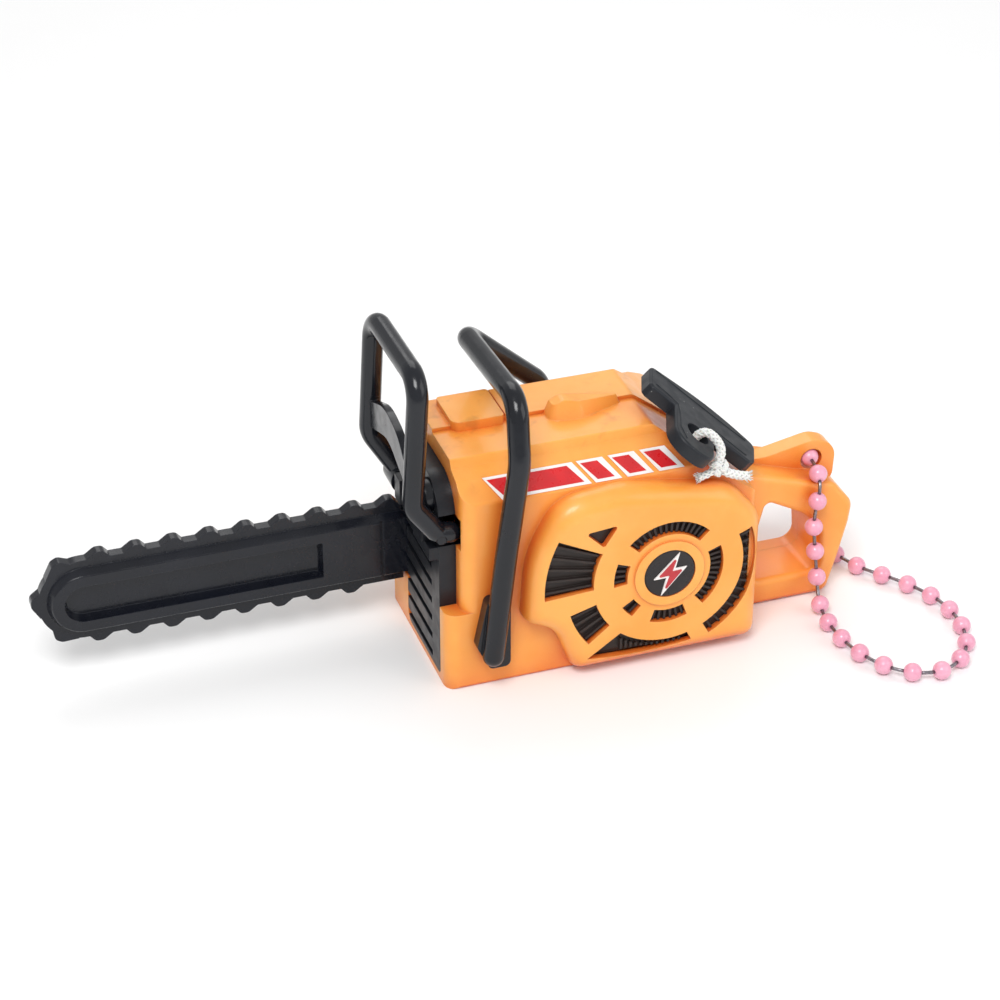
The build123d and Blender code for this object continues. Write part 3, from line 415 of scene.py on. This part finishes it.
# ---------------------------------------------------------------- raised lines on the starter grip
GRIP_PLACE = Vector((8.679, -2.968, 30.333)) * MM
GRIP_OUT = Vector((0.608, -0.2156, 0.7643)).normalized()
GRIP_ALONG = Vector((0.7054, -0.2947, -0.6445)).normalized()
GRIP_ACROSS = -GRIP_OUT.cross(GRIP_ALONG)
RIDGE_RADIUS = 0.09 * MM


def grip_at(along, across, out):
    """Point on the grip, in millimetres along its bar, across it and above its face."""
    return GRIP_PLACE + (GRIP_ALONG * along + GRIP_ACROSS * across + GRIP_OUT * out) * MM


def make_grip_lines():
    """Thin moulded ridges that run along the bar and round the lobe."""
    ridges = [
        [(-7.6, 0.9), (-3, 1.1), (3, 1.1), (7.6, 0.9)],
        [(-7.6, 4.5), (-5.6, 4.7), (-3.9, 5.2), (-3.5, 7.5), (-3.5, 10.5), (-2.6, 12.4)],
        [(7.6, 4.7), (5.2, 4.7), (2.4, 4.7)],
    ]
    mesh = bmesh.new()
    for ridge in ridges:
        places = [grip_at(along, across, 0.0) for along, across in ridge]
        add_tube(mesh, places, [RIDGE_RADIUS] * len(places), count=8)
    piece = mesh_piece("grip_ridges", mesh, GRIP_BODY)
    return piece


grip_lines = make_grip_lines()


# ---------------------------------------------------------------- materials
MIX_FIRST, MIX_SECOND, MIX_RESULT = 6, 7, 2  # the mix node's colour sockets
EDGE_FLAT, EDGE_SHARP = 0.99, 0.8
NODE_SAMPLES = 4
SMUDGES_FROM, SMUDGES_FULL = 0.0262, 0.031  # heights on the housing, in metres


class Look:
    """A material under construction: a Principled shader and the nodes that feed it."""

    def __init__(self, name, roughness=0.4, metallic=0.0, coat=0.0, specular=0.5):
        self.material = bpy.data.materials.new(name)
        self.material.use_nodes = True
        self.nodes = self.material.node_tree.nodes
        self.links = self.material.node_tree.links
        self.shader = self.nodes["Principled BSDF"]
        self.shader.inputs["Roughness"].default_value = roughness
        self.shader.inputs["Metallic"].default_value = metallic
        self.shader.inputs["Coat Weight"].default_value = coat
        self.shader.inputs["Coat Roughness"].default_value = 0.12
        self.shader.inputs["Specular IOR Level"].default_value = specular
        self.place = self.nodes.new("ShaderNodeTexCoord").outputs["Object"]

    def feed(self, socket, value):
        """Sets a socket from a number, a colour or another node's output."""
        if isinstance(value, bpy.types.NodeSocket):
            self.links.new(value, socket)
        elif isinstance(value, tuple) and len(value) == 3 and socket.type == "RGBA":
            socket.default_value = (*value, 1.0)
        else:
            socket.default_value = value

    def noise(self, size, detail=4.0, stretch=(1, 1, 1), warp=0.0):
        """Noise whose features are about size millimetres across."""
        mapping = self.nodes.new("ShaderNodeMapping")
        mapping.inputs["Scale"].default_value = stretch
        self.links.new(self.place, mapping.inputs["Vector"])
        node = self.nodes.new("ShaderNodeTexNoise")
        node.inputs["Scale"].default_value = 1.0 / (size * MM)
        node.inputs["Detail"].default_value = detail
        node.inputs["Distortion"].default_value = warp
        self.links.new(mapping.outputs["Vector"], node.inputs["Vector"])
        return node.outputs["Fac"]

    def cells(self, size):
        """Distance to the nearest of scattered points about size millimetres apart."""
        node = self.nodes.new("ShaderNodeTexVoronoi")
        node.inputs["Scale"].default_value = 1.0 / (size * MM)
        self.links.new(self.place, node.inputs["Vector"])
        return node.outputs["Distance"]

    def span(self, value, low, high, to_low=0.0, to_high=1.0):
        """Value from low to high, carried to another range and held there."""
        node = self.nodes.new("ShaderNodeMapRange")
        node.interpolation_type = "SMOOTHSTEP"
        for name, number in (("Value", value), ("From Min", low), ("From Max", high),
                             ("To Min", to_low), ("To Max", to_high)):
            self.feed(node.inputs[name], number)
        return node.outputs["Result"]

    def times(self, first, second):
        """Product of two values."""
        node = self.nodes.new("ShaderNodeMath")
        node.operation = "MULTIPLY"
        self.feed(node.inputs[0], first)
        self.feed(node.inputs[1], second)
        return node.outputs["Value"]

    def mix(self, share, first, second):
        """Colour from first to second by share."""
        node = self.nodes.new("ShaderNodeMix")
        node.data_type = "RGBA"
        self.feed(node.inputs["Factor"], share)
        self.feed(node.inputs[MIX_FIRST], first)
        self.feed(node.inputs[MIX_SECOND], second)
        return node.outputs[MIX_RESULT]

    def height(self):
        """Height in the piece's own frame, in metres."""
        node = self.nodes.new("ShaderNodeSeparateXYZ")
        self.links.new(self.place, node.inputs["Vector"])
        return node.outputs["Z"]

    def hollows(self, reach):
        """Ambient occlusion: 1 in the open and 0 deep in corners within reach millimetres; the looks
        paint shade into corners with it.
        """
        node = self.nodes.new("ShaderNodeAmbientOcclusion")
        node.inputs["Distance"].default_value = reach * MM
        node.samples = NODE_SAMPLES
        return node.outputs["AO"]

    def edges(self, radius):
        """(rounded normal, 1 on edges and 0 on flats)."""
        bevel = self.nodes.new("ShaderNodeBevel")
        bevel.samples = NODE_SAMPLES
        bevel.inputs["Radius"].default_value = radius * MM
        flat = self.nodes.new("ShaderNodeNewGeometry")
        compare = self.nodes.new("ShaderNodeVectorMath")
        compare.operation = "DOT_PRODUCT"
        self.links.new(bevel.outputs["Normal"], compare.inputs[0])
        self.links.new(flat.outputs["Normal"], compare.inputs[1])
        edge = self.span(compare.outputs["Value"], EDGE_FLAT, EDGE_SHARP)
        return bevel.outputs["Normal"], edge

    def finish(self, colour, roughness=None, bumps=(), normal=None):
        """Connects colour, roughness and a stack of (height, depth in mm) bumps."""
        self.feed(self.shader.inputs["Base Color"], colour)
        if roughness is not None:
            self.feed(self.shader.inputs["Roughness"], roughness)
        for height, depth in bumps:
            node = self.nodes.new("ShaderNodeBump")
            node.inputs["Distance"].default_value = depth * MM
            node.inputs["Strength"].default_value = 1.0
            self.links.new(height, node.inputs["Height"])
            if normal is not None:
                self.links.new(normal, node.inputs["Normal"])
            normal = node.outputs["Normal"]
        if normal is not None:
            self.links.new(normal, self.shader.inputs["Normal"])
        return self.material


def orange_look():
    """Warm moulded plastic: painted shade, darker and redder, in corners; paler on edges; handled and
    a little dirty on top.
    """
    look = Look("orange_moulded", coat=0.25)
    look.shader.inputs["Subsurface Weight"].default_value = 0.12
    look.shader.inputs["Subsurface Radius"].default_value = (1.0, 0.35, 0.1)
    look.shader.inputs["Subsurface Scale"].default_value = 0.8 * MM
    normal, edge = look.edges(0.22)
    cloud = look.noise(9, 5)
    # Painted shade: corners, creases and gaps between parts turn a darker, redder orange by ambient
    # occlusion.
    clear_of_painted_shade = look.span(look.hollows(5), 0.25, 0.95)
    body = look.mix(look.span(cloud, 0.35, 0.65), (0.93, 0.36, 0.055), (0.95, 0.41, 0.08))
    body = look.mix(clear_of_painted_shade, (0.72, 0.13, 0.015), body)
    body = look.mix(look.times(edge, 0.5), body, (0.97, 0.5, 0.15))
    high_up = look.span(look.height(), SMUDGES_FROM, SMUDGES_FULL)
    patches = look.span(look.noise(3.2, 6, warp=0.4), 0.56, 0.74)
    smudge = look.times(look.times(high_up, patches), 0.3)
    body = look.mix(smudge, body, (0.3, 0.1, 0.03))
    rough = look.span(look.noise(2.4, 6), 0.3, 0.7, 0.3, 0.44)
    return look.finish(body, rough, [(cloud, 0.05), (look.noise(0.35, 3), 0.012)], normal)


def dark_look(name, base, worn, roughness, coat=0.0, grain=0.012, specks=0.0):
    """Dark moulded plastic with uneven gloss, faint flow marks and paler edges."""
    look = Look(name, coat=coat, specular=0.32)
    normal, edge = look.edges(0.16)
    cloud = look.noise(6, 5)
    body = look.mix(look.span(cloud, 0.3, 0.7), base, tuple(1.35 * part for part in base))
    scuffs = look.span(look.noise(0.9, 8, stretch=(1, 3, 1)), 0.6, 0.85)
    body = look.mix(look.times(scuffs, 0.25), body, worn)
    body = look.mix(look.times(edge, 0.35), body, worn)
    if specks:
        dots = look.span(look.cells(1.3), 0.075, 0.035)
        dots = look.times(dots, look.span(look.noise(4, 2), 0.45, 0.6))
        body = look.mix(look.times(dots, specks), body, (0.55, 0.55, 0.56))
    rough = look.span(look.noise(1.8, 6), 0.3, 0.7, roughness - 0.06, roughness + 0.08)
    return look.finish(body, rough, [(cloud, 0.04), (look.noise(0.3, 3), grain)], normal)


def print_look(name, base, dark, roughness):
    """Printed film: slightly uneven ink with fine orange-peel."""
    look = Look(name, coat=0.2)
    ink = look.noise(1.6, 6)
    body = look.mix(look.span(ink, 0.3, 0.75), base, dark)
    rough = look.span(look.noise(0.8, 5), 0.3, 0.7, roughness - 0.05, roughness + 0.08)
    return look.finish(body, rough, [(look.noise(0.25, 3), 0.006)])


def rope_look():
    """White polyester yarn with fine filaments and painted grey shade in the hollows between them."""
    look = Look("white_yarn", roughness=0.75)
    look.shader.inputs["Sheen Weight"].default_value = 0.3
    look.shader.inputs["Subsurface Weight"].default_value = 0.1
    look.shader.inputs["Subsurface Scale"].default_value = 0.3 * MM
    filament = look.noise(0.12, 5, stretch=(1, 1, 2.5))
    # Painted shade: the yarn turns grey in the hollows between strands by ambient occlusion.
    body = look.mix(look.span(look.hollows(0.5), 0.2, 0.9), (0.42, 0.4, 0.38), (0.86, 0.85, 0.82))
    body = look.mix(look.span(filament, 0.55, 0.8), body, (0.62, 0.6, 0.56))
    return look.finish(body, None, [(filament, 0.05)])


def ball_look():
    """Pink lacquer over metal balls: even, glossy, with faint scattered chips."""
    look = Look("pink_lacquer", coat=0.5)
    cloud = look.noise(2.2, 4)
    body = look.mix(look.span(cloud, 0.3, 0.7), (0.78, 0.33, 0.46), (0.84, 0.4, 0.53))
    chips = look.span(look.noise(0.5, 6), 0.72, 0.78)
    body = look.mix(look.times(chips, 0.4), body, (0.9, 0.62, 0.7))
    rough = look.span(look.noise(0.7, 4), 0.3, 0.7, 0.26, 0.38)
    return look.finish(body, rough, [(look.noise(0.6, 3), 0.01)])


def metal_look(name, base, tint, roughness, size=0.5, stretch=(1, 1, 1)):
    """Plated or turned metal with fine tool marks and dull patches."""
    look = Look(name, metallic=1.0)
    normal, edge = look.edges(0.08)
    marks = look.noise(size, 7, stretch=stretch)
    body = look.mix(look.span(marks, 0.3, 0.7), base, tint)
    body = look.mix(look.times(edge, 0.4), body, tuple(min(1.0, 1.25 * part) for part in base))
    rough = look.span(look.noise(size * 2, 5), 0.3, 0.7, roughness - 0.08, roughness + 0.12)
    return look.finish(body, rough, [(marks, 0.01)], normal)


LOOKS = {
    "orange_plastic": orange_look(),
    "black_plastic": dark_look("black_moulded", (0.008, 0.009, 0.012), (0.028, 0.03, 0.037), 0.34),
    "gloss_black": dark_look("black_gloss", (0.006, 0.007, 0.01), (0.024, 0.026, 0.034),
                             0.2, 0.2, 0.005),
    "vent_plastic": dark_look("vent_brown_black", (0.022, 0.016, 0.014), (0.08, 0.066, 0.062),
                              0.36),
    "bar_plastic": dark_look("bar_black", (0.005, 0.006, 0.01), (0.026, 0.03, 0.042),
                             0.24, 0.2, 0.006),
    "grip_plastic": dark_look("grip_grey", (0.013, 0.015, 0.019), (0.07, 0.074, 0.085),
                              0.4, specks=0.8),
    "badge_plastic": dark_look("badge_black", (0.014, 0.012, 0.013), (0.06, 0.058, 0.058), 0.3, 0.1),
    "badge_red": print_look("badge_red_print", (0.5, 0.02, 0.03), (0.42, 0.015, 0.025), 0.35),
    "decal_red": print_look("sticker_red", (0.66, 0.016, 0.02), (0.54, 0.01, 0.016), 0.3),
    "decal_white": print_look("sticker_white", (0.9, 0.86, 0.84), (0.82, 0.78, 0.76), 0.32),
    "white_plastic": print_look("white_moulded", (0.78, 0.77, 0.72), (0.7, 0.68, 0.62), 0.45),
    "rope_white": rope_look(),
    "chain_pink": ball_look(),
    "steel": metal_look("plated_steel", (0.56, 0.56, 0.57), (0.42, 0.42, 0.44), 0.28),
    "brass": metal_look("turned_brass", (0.72, 0.52, 0.22), (0.58, 0.4, 0.16), 0.3, stretch=(1, 6, 1)),
}
WIRE_LOOK = metal_look("link_wire", (0.3, 0.27, 0.3), (0.2, 0.18, 0.2), 0.34, 0.3)


def dress():
    """Gives every CAD node its slot's material, and every added piece its own."""
    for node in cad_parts.values():
        for place in node.material_slots:
            place.material = LOOKS[place.material.name.split(".")[0]]
    for piece in rope_pieces:
        piece.data.materials.append(LOOKS["rope_white"])
    chain_piece.data.materials.append(LOOKS["chain_pink"])
    chain_piece.data.materials.append(WIRE_LOOK)
    bolt_outline.data.materials.append(LOOKS["decal_white"])
    grip_lines.data.materials.append(LOOKS["grip_plastic"])


dress()


# ---------------------------------------------------------------- floor and light
TABLE_HALF = 1.5  # metres
WORLD_STRENGTH = 0.58
AIM = (-10, 0, 14)  # millimetres, as the lamps' places are; their powers are in watts


def make_floor():
    """Plain pale table top."""
    mesh = bmesh.new()
    corners = [(-TABLE_HALF, -TABLE_HALF), (TABLE_HALF, -TABLE_HALF),
               (TABLE_HALF, TABLE_HALF), (-TABLE_HALF, TABLE_HALF)]
    mesh.faces.new([mesh.verts.new((x, y, 0)) for x, y in corners])
    data = bpy.data.meshes.new("table_top")
    mesh.to_mesh(data)
    mesh.free()
    floor = link("table_top", data)
    look = Look("pale_table", roughness=0.7, specular=0.2)
    body = look.mix(look.noise(30, 3), (0.93, 0.93, 0.93), (0.95, 0.95, 0.95))
    floor.data.materials.append(look.finish(body))


def make_light(name, place, power, size):
    """Square soft box aimed at the saw."""
    data = bpy.data.lights.new(name, "AREA")
    data.shape = "SQUARE"
    data.size = size
    data.energy = power
    lamp = link(name, data)
    lamp.location = Vector(place) * MM
    way = (Vector(AIM) - Vector(place)).normalized()
    lamp.rotation_euler = way.to_track_quat("-Z", "Y").to_euler()


def make_world():
    """Even white surroundings."""
    world = bpy.data.worlds.new("studio")
    world.use_nodes = True
    background = world.node_tree.nodes["Background"]
    background.inputs["Color"].default_value = (1.0, 1.0, 1.0, 1.0)
    background.inputs["Strength"].default_value = WORLD_STRENGTH
    bpy.context.scene.world = world


make_floor()
make_world()
make_light("key", (-160, -260, 420), 1.45, 0.2)
make_light("fill", (320, -260, 240), 0.45, 0.3)
make_light("rear", (60, 300, 380), 0.5, 0.3)
bpy.context.scene.view_settings.view_transform = "Standard"
